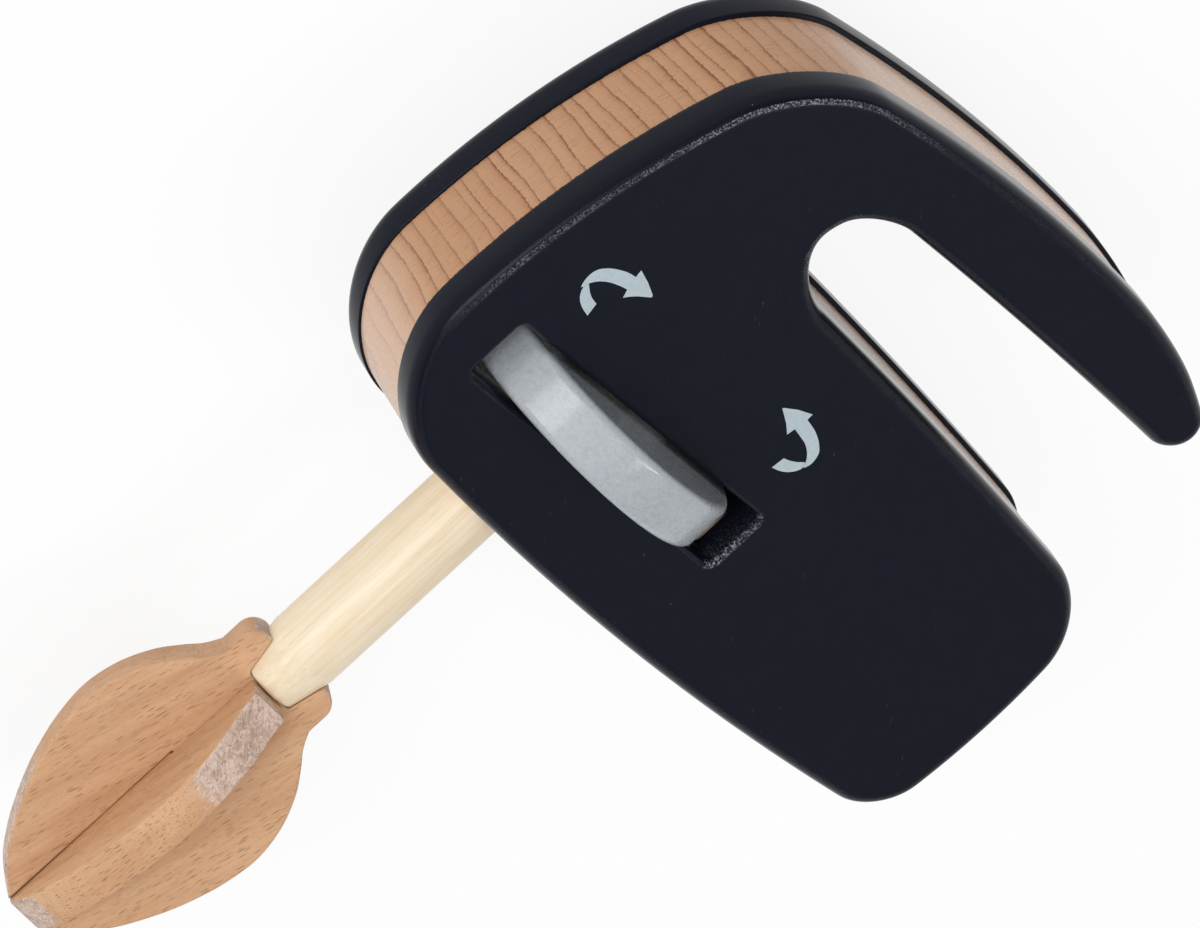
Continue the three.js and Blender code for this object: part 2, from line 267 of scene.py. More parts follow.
# The object's own place, centred on the wheel, turned back by the given matrix and measured in units that may
# differ by direction, in millimetres.
def grainPlace(tree, size=(1, 1, 1), turn=None):
    place = addNode(tree, "TexCoord").outputs["Object"]
    turn = (turn or Matrix.Identity(3)).to_euler("XYZ")
    feeds = {"Vector": place, "Location": wheelMiddle.tolist(), "Rotation": turn}
    feeds["Scale"] = [millimetre * s for s in size]
    return addNode(tree, "Mapping", feeds, vector_type="TEXTURE").outputs["Vector"]


def noise(tree, place, scale=1, detail=2, roughness=0.5, distortion=0):
    feeds = {"Vector": place, "Scale": scale, "Detail": detail, "Roughness": roughness, "Distortion": distortion}
    return addNode(tree, "TexNoise", feeds).outputs["Fac"]


# A value between low and high becomes one between the two others, and stops at them.
def spread(tree, value, low, high, toLow=0, toHigh=1, smooth=True):
    feeds = {"Value": value, "From Min": low, "From Max": high, "To Min": toLow, "To Max": toHigh}
    kind = "SMOOTHSTEP" if smooth else "LINEAR"
    return addNode(tree, "MapRange", feeds, interpolation_type=kind).outputs["Result"]


def sums(tree, operation, *values):
    feeds = dict(enumerate(values))
    return addNode(tree, "Math", feeds, operation=operation).outputs["Value"]


def times(tree, first, second):
    return sums(tree, "MULTIPLY", first, second)


def blended(tree, factor, first, second):
    feeds = {0: factor, 6: first, 7: second}  # a colour Mix shares its sockets' names, so they go by number
    return addNode(tree, "Mix", feeds, data_type="RGBA").outputs[2]


# A finish's colour: its low and high colours are blended by a share, and others are laid over them one by one,
# each by a share of its own times a strength.
def coloured(tree, colours, share, layers=()):
    base = blended(tree, share, colours["low"], colours["high"])
    for share, strength, name in layers:
        base = blended(tree, times(tree, share, strength), base, colours[name])
    return base


def ownValue(tree, name):
    return addNode(tree, "Attribute", attribute_name=name).outputs["Fac"]


def bumped(tree, height, strength, distance, under=None):
    feeds = {"Height": height, "Strength": strength, "Distance": distance * millimetre}
    if under:
        feeds["Normal"] = under
    return addNode(tree, "Bump", feeds).outputs["Normal"]


# The body's outline seen from its front: each corner's place, its round and the bow of the side after it,
# counterclockwise from the nose's lower corner.
body = {
    "corners": [
        (-47.29, -22.1, 22.9, 4.5),
        (112.5, -24.1, 10, 2.8),
        (111.5, 32.5, 14.5, 1),
        (1.1, 41.9, 12, -5.2),
        (3.9, 62.1, 7.3, -0.7),
        (93.2, 62.1, 4.4, 0.2),
        (96.2, 70.7, 4.4, 0.6),
        (73, 79.1, 16.3, 3.74),
        (-31.53, 74.52, 16.9, 8.1),
    ],
    "spacing": 0.9,
    "cornerSteps": 30,
    "coreHalf": 9.2,
    "face": 16.4,
    "faceEdge": {"width": 2.1, "depth": 3.1, "slopeWidth": 1.1, "slopeTilt": math.radians(16), "roundSteps": 13,
                 "slopeSteps": 8},
    "seamRound": 0.35,
    "seamSteps": 4,
    "coreSetback": [0.5, 0.5, 0.9, 0.9, 0.9, 0.9, 0.9, 0.9, 1],  # of the wood at each corner
    # How far the paint runs over the core's wood beside each corner: from the front seam and from the back one.
    "paintOver": [(0.4, 0), (0.6, 0.1), (0.9, 0.3), (0.9, 0.4), (0.9, 0.3), (1, 0.3), (1.4, 0.3), (2.2, 0.2),
                  (1.2, 0.1)],
    "faceBorder": 0.3,  # a narrow flat ring that keeps the face's shading flat
}
outline, outlineNormals = roundedOutline(body["corners"], body["spacing"], body["cornerSteps"])

# The opening for the wheel, about the wheel's middle.
opening = {
    "halfLength": 36.3,
    "halfWidth": 6.3,
    "corner": 1.6,
    "lip": 1.2,
    "lipSteps": 8,
    "spacing": 0.9,
    "cornerSteps": 12,
}
openingCorners = [
    (u * opening["halfLength"], v * opening["halfWidth"], opening["corner"], 0)
    for u, v in [(-1, -1), (1, -1), (1, 1), (-1, 1)]
]
openingOutline, openingNormals = roundedOutline(openingCorners, opening["spacing"], opening["cornerSteps"])

blackPaint = {
    "colours": {
        "low": (0.0038, 0.0051, 0.0115, 1),
        "high": (0.0048, 0.0064, 0.0138, 1),
        "dust": (0.3, 0.31, 0.33, 1),
        # The next colour is pale rubbed paint, which on the opening's lip also stands in for a painted sparkle
        # highlight.
        "rubbedAndSparkle": (0.42, 0.44, 0.48, 1),
        # The next colour is for the pale glinting grains along the brow, a painted highlight.
        "grain": (0.34, 0.355, 0.41, 1),
    },
    "specks": 0.6,  # how strongly each shows
    "scratches": 0.34,
    "wearAndSparkle": 0.9,
    # Each coat's name, roughness and gloss, how pebbled it is where it wraps round an edge, and how strongly its
    # pale grains, a painted highlight, show.
    "face": ("satinBlackPaint", 0.3, 0.2, 0.9, 0),
    "rim": ("pebbledBlackPaint", 0.22, 0.15, 0.9, 0.9),
    "wall": ("smoothBlackPaint", 0.17, 0.12, 0.3, 0),
}


def satinBlack(name, roughness, specular, pebbles, paintedGlints):
    paint, tree, shader = newFinish(name, roughness, specular)
    place = grainPlace(tree)
    tilt, wornAndSparkle = ownValue(tree, "tilt"), ownValue(tree, "wornAndSparkle")

    # Dust: a few pale specks, each in one cell, and short hair-thin scratches.
    cell = addNode(tree, "TexVoronoi", {"Vector": place, "Scale": 0.3})
    chance = addNode(tree, "SeparateColor", {"Color": cell.outputs["Color"]}).outputs["Red"]
    speck = times(tree, spread(tree, cell.outputs["Distance"], 0.045, 0.02), spread(tree, chance, 0.84, 0.9))
    scratch = noise(tree, grainPlace(tree, (0.16, 2.6, 3), Matrix.Rotation(0.9, 3, "Z")))
    patch = noise(tree, place, 0.09)
    scratch = times(tree, spread(tree, scratch, 0.735, 0.78), spread(tree, patch, 0.52, 0.64))
    dust = sums(tree, "MAXIMUM", times(tree, speck, blackPaint["specks"]),
                times(tree, scratch, blackPaint["scratches"]))

    # The paint is rubbed pale where it is worn, and on the opening's lip that pale also stands in for a painted
    # sparkle highlight. Pale grains on the slope along the brow are a painted glinting highlight.
    rubbedAndSparkle = noise(tree, place, 2.2, 4, 0.75)
    rubbedAndSparkle = times(tree, spread(tree, rubbedAndSparkle, 0.48, 0.62), wornAndSparkle)
    layers = [(dust, 1, "dust"), (rubbedAndSparkle, blackPaint["wearAndSparkle"], "rubbedAndSparkle")]
    if paintedGlints:
        # Painted highlight: pale glinting grains on the brow's slope.
        grain = spread(tree, noise(tree, place, 2.6, 3, 0.8), 0.47, 0.63)
        layers.append((times(tree, grain, ownValue(tree, "browPaintedGlint")), paintedGlints, "grain"))
    base = coloured(tree, blackPaint["colours"], noise(tree, place, 0.05, 3), layers)

    # Sprayed paint lies smooth on the flats and pebbled where it wraps round an edge.
    peel = noise(tree, place, 0.8)
    pebble = noise(tree, place, 3, 3, 0.65)
    wrap = times(tree, spread(tree, tilt, 0.02, 0.2), spread(tree, tilt, 0.95, 0.45, 0.25, 1))
    patchy = spread(tree, noise(tree, place, 0.35, 4, 0.65), 0.3, 0.7, roughness - 0.015, roughness + 0.02)
    smooth = bumped(tree, peel, 0.12, 0.1)
    strength = sums(tree, "MAXIMUM", times(tree, wrap, pebbles), wornAndSparkle)
    normal = bumped(tree, pebble, strength, 0.16, smooth)
    feed(shader, {"Base Color": base, "Roughness": patchy, "Normal": normal})
    return paint


# How far a point's surface tilts away from the flat faces, as a share of a right angle.
def tiltShare(place, normal):
    return np.arccos(np.clip(np.abs(normal[:, 2]), 0, 1)) / (math.pi / 2)


# Worn paint on the opening's lip, painted pale also as a sparkle highlight.
wornAndSparkleLip = {
    "below": 0.45,  # it is worn most this far below the face
    "reach": 0.8,  # and the wear fades over this height
    "most": 1.1,
    "inwards": 1.2,  # how far it goes from the opening's end into the opening
    "outwards": 1.7,  # and out of it
    "middle": 0.75,  # its strength on the shaft's line
    "slope": 16,  # and the way down the shaft on which that grows by one
    "least": 0.3,
    "offFace": 0.005,  # the flat face has no wear
}


# Paint is rubbed through on the lip at the opening's end towards the heel, and fades evenly up and down. Its pale
# colour there is also a painted sparkle highlight.
def wornAndSparkleShare(place, normal):
    beyondEnd, height = place[:, 0] - opening["halfLength"], np.abs(place[:, 2])
    beside = np.abs(place[:, 1]) - opening["halfWidth"]
    nearLip = np.clip(wornAndSparkleLip["most"] - np.abs(height - body["face"] + wornAndSparkleLip["below"]) / wornAndSparkleLip["reach"], 0, 1)
    onEnd = (beyondEnd > -wornAndSparkleLip["inwards"]) & (beyondEnd < wornAndSparkleLip["outwards"]) & (beside < wornAndSparkleLip["outwards"])
    onEnd &= height < body["face"] - wornAndSparkleLip["offFace"]
    return onEnd * nearLip * np.clip(wornAndSparkleLip["middle"] - place[:, 1] / wornAndSparkleLip["slope"], wornAndSparkleLip["least"], 1)


# Pale grains, a painted glinting highlight, by the angle round a middle on the wheel's line, in degrees from the
# nose towards the handle.
brow = {
    "middle": 30,
    "angles": [-35, -20, 10, 32, 50, 66, 95],
    "paintedGlints": [0, 0.4, 0.32, 0.6, 1, 0.55, 0],
    "below": 1.5,  # they end this far below the face
}


# Painted highlight: pale glinting grains lie along the brow and are thickest on its bend.
def browPaintedGlintShare(place, normal):
    around = np.degrees(np.arctan2(place[:, 1] - brow["middle"], -place[:, 0]))
    share = np.interp(around, brow["angles"], brow["paintedGlints"])
    return share * (np.abs(place[:, 2]) > body["face"] - brow["below"])


facePaint, rimPaint, wallPaint = (satinBlack(*blackPaint[coat]) for coat in ("face", "rim", "wall"))
# A face that is less flat than the first takes the rim's coat, and than the second the wall's. So the rim's coat
# is only on the slope inside the edge.
plateEdges = [(0.988, rimPaint), (0.85, wallPaint)]


# A plate is the outline carried up a profile with a small round at its seam and a sanded edge at its face. The
# opening is its own outline carried up a straight wall that flares at the face, and flat sheets join the two.
def makePlate(name, node, side):
    edge = sandedEdge(height=body["face"], **body["faceEdge"])
    rows = np.concatenate([
        quarterRound(body["seamRound"], -body["coreHalf"], body["seamSteps"])[::-1] * (-1, 1),
        edge,
        [(body["face"], edge[-1, 1] + body["faceBorder"])],
    ])
    wall = np.concatenate([
        [(body["coreHalf"], 0)],
        quarterRound(opening["lip"], body["face"], opening["lipSteps"], -1),
        [(body["face"], -opening["lip"] - body["faceBorder"])],
    ])
    outer = carried(outline, outlineNormals, rows)
    inner = carried(openingOutline, openingNormals, wall)
    shells = [gridShell(outer), gridShell(inner), filledShell([outer[0], inner[0]]),
              filledShell([outer[-1], inner[-1]])]
    shells = [(points * (1, 1, side), faces) for points, faces in shells]
    attributes = {"tilt": tiltShare, "wornAndSparkle": wornAndSparkleShare, "browPaintedGlint": browPaintedGlintShare}
    makePiece(name, shells, facePaint, "housing", [node], attributes, plateEdges)


makePlate("frontPlate", "front_plate", 1)
makePlate("backPlate", "back_plate", -1)

core = {
    "levels": 9,
    "boreRadius": 7.9,
    "boreReach": 20.8,
    "boreSteps": 96,
    "patchHalf": 9.5,
    # The walls that the bore meets, by the heights they lie between.
    "belly": (-60, -15),
    "pocketLow": (-15, 0),
    "pocketHigh": (0, 15),
    # The bare place in the pocket: paint fades in over these widths, upwards from a height and away from an end.
    "bare": {"height": -1.5, "fadeUp": 3, "end": 24, "fadeAway": 6},
    "rings": {"alongX": 0.35, "alongY": 0.94, "fanning": -0.0026, "width": 2.9},
    # Noise that wavers the rings: its cells' size, its detail and roughness, and how far it moves them.
    "wavers": [((34, 34, 60), 2, 0.5, 6), ((9, 9, 12), 1, 0.5, 1.1), ((0.9, 0.9, 0.7), 2, 0.6, 0.8)],
    "colours": {
        "low": (0.46, 0.25, 0.137, 1),
        "high": (0.545, 0.318, 0.186, 1),
        "pores": (0.36, 0.18, 0.09, 1),
        "late": (0.36, 0.155, 0.075, 1),
        "thin": (0.28, 0.12, 0.06, 1),
        "checks": (0.24, 0.105, 0.05, 1),
        "line": (0.17, 0.07, 0.036, 1),
        # The next colour is a painted sheen, low on the nose and along the handle.
        "paintedSheen": (0.78, 0.6, 0.485, 1),
        "paint": (0.0048, 0.006, 0.009, 1),
    },
}


def coreWood():
    wood, tree, shader = newFinish("sandedCoreWood", 0.24, 0.15)
    place = grainPlace(tree)
    along, up, out = addNode(tree, "SeparateXYZ", {"Vector": place}).outputs

    # Growth rings are sheets that cross the band and fan out as they near the handle. Their place is X and Y,
    # each times its share, and Y times Z times the fanning, all added up and wavered by noise. Divided by a
    # ring's width it counts the rings, and noise along that count crowds some of them and spaces others.
    rings = core["rings"]
    ring = sums(tree, "MULTIPLY_ADD", along, rings["alongX"], times(tree, up, rings["alongY"]))
    ring = sums(tree, "MULTIPLY_ADD", times(tree, up, out), rings["fanning"], ring)
    for size, detail, roughness, reach in core["wavers"]:
        waver = noise(tree, grainPlace(tree, size), 1, detail, roughness)
        ring = sums(tree, "MULTIPLY_ADD", waver, reach, ring)
    crowd = addNode(tree, "TexNoise", {"W": ring, "Scale": 0.16, "Detail": 1}, noise_dimensions="1D").outputs["Fac"]
    count = sums(tree, "MULTIPLY_ADD", crowd, 1.2, sums(tree, "DIVIDE", ring, rings["width"]))
    phase = sums(tree, "FRACT", count)
    chance = addNode(tree, "TexWhiteNoise", {"W": sums(tree, "FLOOR", count)}, noise_dimensions="1D")
    fading = noise(tree, grainPlace(tree, (5, 5, 4)))
    weight = times(tree, spread(tree, chance.outputs["Value"], 0, 1, 0.45, 1, False),
                   spread(tree, fading, 0.25, 0.6, 0.6, 1))
    line = times(tree, spread(tree, phase, 0.8, 0.91), spread(tree, phase, 0.985, 0.935))
    line = times(tree, line, weight)
    late = times(tree, spread(tree, phase, 0.35, 0.92), spread(tree, phase, 1, 0.95))
    late = times(tree, late, weight)
    between = sums(tree, "FRACT", sums(tree, "MULTIPLY_ADD", count, 2, 0.35))
    thin = times(tree, spread(tree, between, 0.86, 0.93), spread(tree, between, 0.99, 0.94))
    thin = times(tree, thin, spread(tree, fading, 0.48, 0.66))

    # Fine checks run square to the rings, and pores speckle the wood between them.
    checks = spread(tree, noise(tree, grainPlace(tree, (3.2, 3.2, 0.22)), 1, 2, 0.55), 0.6, 0.67)
    pores = noise(tree, grainPlace(tree, (0.34, 0.34, 0.5)), 1, 3, 0.7)
    broad = noise(tree, place, 0.06, 3)

    # Painted sheen: the wood is painted paler low on the nose and along the handle.
    paintedSheen = sums(tree, "MAXIMUM", spread(tree, sums(tree, "MULTIPLY_ADD", broad, 12, up), 10, -12),
                   spread(tree, sums(tree, "MULTIPLY_ADD", broad, 12, along), -24, 0))
    layers = [(spread(tree, pores, 0.4, 0.7), 0.34, "pores"), (late, 0.6, "late"), (thin, 0.5, "thin"),
              (checks, 0.38, "checks"), (line, 0.9, "line"), (paintedSheen, 0.5, "paintedSheen")]
    base = coloured(tree, core["colours"], broad, layers)

    # Black paint laps over both seams with a slightly ragged edge, and reaches into the pocket.
    ragged = times(tree, sums(tree, "SUBTRACT", noise(tree, place, 1.4, 3, 0.6), 0.5), 0.5)
    front, back = (sums(tree, "ADD", ownValue(tree, lap), ragged) for lap in ("frontPaint", "backPaint"))
    front = sums(tree, "SUBTRACT", sums(tree, "ADD", out, front), body["coreHalf"])
    back = sums(tree, "SUBTRACT", sums(tree, "SUBTRACT", back, out), body["coreHalf"])
    painted = sums(tree, "MAXIMUM", spread(tree, front, -0.04, 0.04), spread(tree, back, -0.04, 0.04))
    painted = sums(tree, "MAXIMUM", painted, ownValue(tree, "sprayed"))
    base = blended(tree, painted, base, core["colours"]["paint"])
    height = sums(tree, "SUBTRACT", pores, sums(tree, "MAXIMUM", line, checks))
    feed(shader, {"Base Color": base, "Roughness": spread(tree, pores, 0.3, 0.7, 0.2, 0.3),
                  "Normal": bumped(tree, height, 0.12, 0.05)})
    return wood


# A value given at each corner, drawn out evenly over all points of the outline between the corners.
def alongOutline(atCorners):
    corners = np.array(body["corners"], dtype=float)[:, :2]
    stations = np.linalg.norm(outline[None] - corners[:, None], axis=2).argmin(axis=1)
    return np.interp(np.arange(len(outline)), stations, atCorners, period=len(outline))


# How far the paint runs over the core at each point, taken from the outline's nearest point. None runs into the
# pocket, which has paint of its own.
def paintOverShare(side):
    over, noPaint = alongOutline(np.array(body["paintOver"])[:, side]), -1

    def share(place, normal):
        nearest = np.linalg.norm(outline[None] - place[:, None, :2], axis=2).argmin(axis=1)
        return np.where(inPocket(place), noPaint, over[nearest])

    return share


def inPocket(place):
    margin = 0.1
    return (np.abs(place[:, :2]) < np.array([opening["halfLength"], opening["halfWidth"]]) + margin).all(axis=1)


# Paint sprayed into the opening covers the pocket, and leaves its lower wall bare near the end towards the heel.
def sprayedShare(place, normal):
    bare = core["bare"]
    above = np.clip((place[:, 1] - bare["height"]) / bare["fadeUp"], 0, 1)
    away = np.clip((bare["end"] - place[:, 0]) / bare["fadeAway"], 0, 1)
    return inPocket(place) * np.maximum(above, away)


# The core is the outline carried straight up, drawn in by its setback, with the opening's pocket through it.
# Where the shaft passes a wall, a patch of that wall is left out and filled again round the bore's circle, and
# a tube of circles joins one wall to the next.
def makeCore():
    half = body["coreHalf"]
    levels = np.linspace(-half, half, core["levels"])
    setback = alongOutline(body["coreSetback"])[:, None] * outlineNormals
    outer = carried(outline, setback, [(z, 1) for z in levels])
    pocket = carried(openingOutline, openingNormals, [(z, 0) for z in levels])
    angle = np.linspace(0, 2 * math.pi, core["boreSteps"], endpoint=False)
    circle = core["boreRadius"] * np.stack([np.cos(angle), 0 * angle, np.sin(angle)], axis=1)
    shells, rings = [], []

    # The grid's columns that stand beside the bore, between two heights up the shaft, are patched.
    def withPatches(grid, walls):
        rows, columns = grid.shape[:2]
        x, y = grid[0, :, 0], grid[0, :, 1]
        kept = np.ones(columns, dtype=bool)
        for lowest, highest in walls:
            beside = np.flatnonzero((np.abs(x) < core["patchHalf"]) & (y > lowest) & (y < highest))
            kept[beside[:-1]] = False
            border = np.concatenate([grid[0, beside[:-1]], grid[:-1, beside[-1]],
                                     grid[-1, beside[:0:-1]], grid[:0:-1, beside[0]]])
            order = beside[np.argsort(x[beside])]
            ring = circle + [0, 1, 0] * np.interp(circle[:, 0], x[order], y[order])[:, None]
            shells.append(filledShell([border, ring], plane=(0, 2)))
            rings.append(ring)
        faces = gridFaces(rows, columns).reshape(rows - 1, columns, 4)
        shells.append((grid.reshape(-1, 3), faces[:, kept].reshape(-1, 4)))

    withPatches(outer, [core["belly"]])
    withPatches(pocket, [core["pocketLow"], core["pocketHigh"]])
    belly, low, high = rings
    end = circle + [0, core["boreReach"], 0]
    shells.append(gridShell(np.stack([belly, low])))
    shells.append(gridShell(np.stack([high, end])))
    shells.append(filledShell([end], plane=(0, 2)))
    shells += [filledShell([outer[k], pocket[k]]) for k in (0, -1)]
    attributes = {"sprayed": sprayedShare, "frontPaint": paintOverShare(0), "backPaint": paintOverShare(1)}
    makePiece("woodCore", shells, coreWood(), "housing", ["wood_core"], attributes)


makeCore()

wheel = {
    "radius": 32.2,
    "half": 5.3,
    "edge": 1.6,
    "edgeSteps": 9,
    "sideBorder": 0.4,  # a narrow flat ring that keeps the side's shading flat
    "bore": 7.8,
    "segments": 288,
    "flankShadeTurn": (0.6, 1),  # how squarely a place faces along the shaft where the painted shade on the sides begins and is full
    "colours": {
        "low": (0.36, 0.387, 0.413, 1),
        "high": (0.405, 0.432, 0.455, 1),
        "cloud": (0.36, 0.39, 0.42, 1),
        # The next colour is painted shade for the wheel's flat sides.
        "flankShade": (0.235, 0.255, 0.28, 1),
        "pit": (0.16, 0.17, 0.19, 1),
    },
}


def wheelPaint():
    paint, tree, shader = newFinish("satinGreyPaint", 0.3, 0.5, coat=0.5, coatRoughness=0.16)
    place = grainPlace(tree)
    mottle = noise(tree, place, 0.9, 4, 0.65)
    cloud = noise(tree, place, 0.16)
    pit = noise(tree, place, 2.6)
    # The flank layer is painted shade on the wheel's flat sides.
    layers = [(spread(tree, cloud, 0.45, 0.7), 0.4, "cloud"), (ownValue(tree, "flankShade"), 0.8, "flankShade"),
              (spread(tree, pit, 0.66, 0.72), 0.45, "pit")]
    base = coloured(tree, wheel["colours"], spread(tree, mottle, 0.3, 0.7), layers)
    peel, broad = noise(tree, place, 2.4, 4, 0.7), noise(tree, place, 0.35)
    height = sums(tree, "MULTIPLY_ADD", broad, 1.5, peel)
    feed(shader, {"Base Color": base, "Roughness": spread(tree, mottle, 0.35, 0.7, 0.24, 0.38),
                  "Normal": bumped(tree, height, 0.8, 0.15)})
    return paint


# Painted shade: the wheel's flat sides are painted darker than its rim.
def flankShadeShare(place, normal):
    return np.interp(np.abs(normal[:, 1]), wheel["flankShadeTurn"], (0, 1))


# The wheel is a disc's section turned about the shaft's axis.
def makeWheel():
    half, edge, bored, steps = wheel["half"], wheel["edge"], wheel["bore"], wheel["edgeSteps"]
    flat = wheel["radius"] - edge
    side = flat - wheel["sideBorder"]
    profile = np.concatenate([
        [(bored, -half), (side, -half)],
        quarterArc(flat, -half + edge, edge, -math.pi / 2, steps),
        quarterArc(flat, half - edge, edge, 0, steps),
        [(side, half), (bored, half), (bored, -half)],
    ])
    makePiece("thumbWheel", [turned(profile, wheel["segments"])], wheelPaint(), "rotor", ["thumb_wheel"],
              attributes={"flankShade": flankShadeShare})


makeWheel()

shaftLow = (np.array(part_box("whisk_shaft")) - wheelMiddle)[0, 1] / millimetre
shaft = {
    "radius": 7.5,
    "low": shaftLow,
    "high": 20,
    "end": 1,
    "endSteps": 7,
    "endBorder": 0.4,
    "taperEnd": 6.1,
    "taperLength": 9,
    "barLevels": 12,
    "barBelowEnd": 4,  # the bar's levels stop this far below its upper end
    "segments": 144,
    "colours": {
        "low": (0.8, 0.65, 0.443, 1),
        "high": (0.865, 0.74, 0.55, 1),
        "cloud": (0.79, 0.6, 0.375, 1),
        "dark": (0.62, 0.44, 0.265, 1),
        "pale": (0.93, 0.84, 0.68, 1),
    },
}


def lacqueredBirch():
    wood, tree, shader = newFinish("lacqueredBirch", 0.42, 0.4, coat=0.2)
    streak = noise(tree, grainPlace(tree, (1.1, 40, 1.1)), 1, 3, 0.6)
    fine = noise(tree, grainPlace(tree, (0.24, 9, 0.24)), 1, 3, 0.65)
    cloud = noise(tree, grainPlace(tree, (5, 14, 5)), 1, 3)
    layers = [(spread(tree, cloud, 0.42, 0.7), 0.5, "cloud"), (spread(tree, fine, 0.52, 0.72), 0.34, "dark"),
              (spread(tree, fine, 0.46, 0.3), 0.3, "pale")]
    base = coloured(tree, shaft["colours"], spread(tree, streak, 0.3, 0.7), layers)
    feed(shader, {"Base Color": base, "Normal": bumped(tree, fine, 0.3, 0.06)})
    return wood


# The shaft is a round bar's section with softened ends, turned about its axis. Its lower end tapers.
def makeShaft():
    low, high, end, steps = shaft["low"], shaft["high"], shaft["end"], shaft["endSteps"]
    thin, thick = shaft["taperEnd"] - end, shaft["radius"] - end
    bar = np.linspace(low + shaft["taperLength"], high - shaft["barBelowEnd"], shaft["barLevels"])
    profile = np.concatenate([
        [(0, low), (thin - shaft["endBorder"], low)],
        quarterArc(thin, low + end, end, -math.pi / 2, steps),
        np.stack([np.full_like(bar, shaft["radius"]), bar], axis=1),
        quarterArc(thick, high - end, end, 0, steps),
        [(thick - shaft["endBorder"], high), (0, high)],
    ])
    makePiece("whiskShaft", [turned(profile, shaft["segments"])], lacqueredBirch(), "rotor", ["whisk_shaft"])


makeShaft()

whisk = {
    "radius": 21.9,
    "height": 59.7,
    "half": 3.85,
    "edge": 0.6,
    "edgeSteps": 5,
    "fit": 0.1,  # between the shaft's end and the socket that follows it
    "socketSteps": (6, 8),  # round its floor's edge and up its wall
    "ear": 10.8,
    "earHeight": 7.3,
    "earRound": 3.5,
    "earSteps": 20,
    "earStart": 0.24,  # the ear's round goes on this far past its inner corner, in radians
    "wallStop": 0.5,  # the wall's last point lies this far or more below that corner
    "gap": 0.3,
    "lapHeight": 40,
    "lapHalf": 3.86,
    "lapMouthHalf": 4.12,  # the notches widen a little towards their mouths
    "turn": math.radians(-24.4),
    "earedTilt": math.radians(-13),  # how far the fibres lean over from the shaft's line
    "crossingTilt": math.radians(20),
    "tip": 0.17,
    "cornerClear": 1.6,  # the outline runs straight for this height above a sharp corner
    "steps": 150,
    # Half outline from neck to tip: share of the height down, share of the radius out.
    "leaf": [(0.05, 0.57), (0.1, 0.685), (0.17, 0.822), (0.27, 0.942), (0.385, 0.998), (0.5, 0.968), (0.6, 0.9),
             (0.7, 0.8), (0.82, 0.635), (0.92, 0.445), (0.975, 0.28)],
    # From which share across the fibres the cut ends show, at two heights above the tip, and how fast they do.
    "endHeights": (3, 9),
    "endLeast": (0.08, 0.42),
    "endGain": 3,
    "colours": {
        "low": (0.54, 0.295, 0.15, 1),
        "high": (0.626, 0.373, 0.208, 1),
        "cloud": (0.64, 0.345, 0.17, 1),
        "dark": (0.38, 0.19, 0.095, 1),
        "pale": (0.78, 0.52, 0.33, 1),
        "fleck": (0.2, 0.085, 0.037, 1),
    },
    "endColours": {
        "low": (0.47, 0.335, 0.265, 1),
        "high": (0.7, 0.555, 0.475, 1),
        "scribble": (0.15, 0.095, 0.07, 1),
    },
    "scribbles": [((0.9, 4.2, 4.2), 0.7), ((0.7, 3.4, 3.4), -0.5)],  # the saw's marks: their size and their turn
}
whisk["top"] = shaft["low"] - whisk["gap"]
whisk["low"] = whisk["top"] - whisk["height"]
whisk["lap"] = whisk["low"] + whisk["lapHeight"]


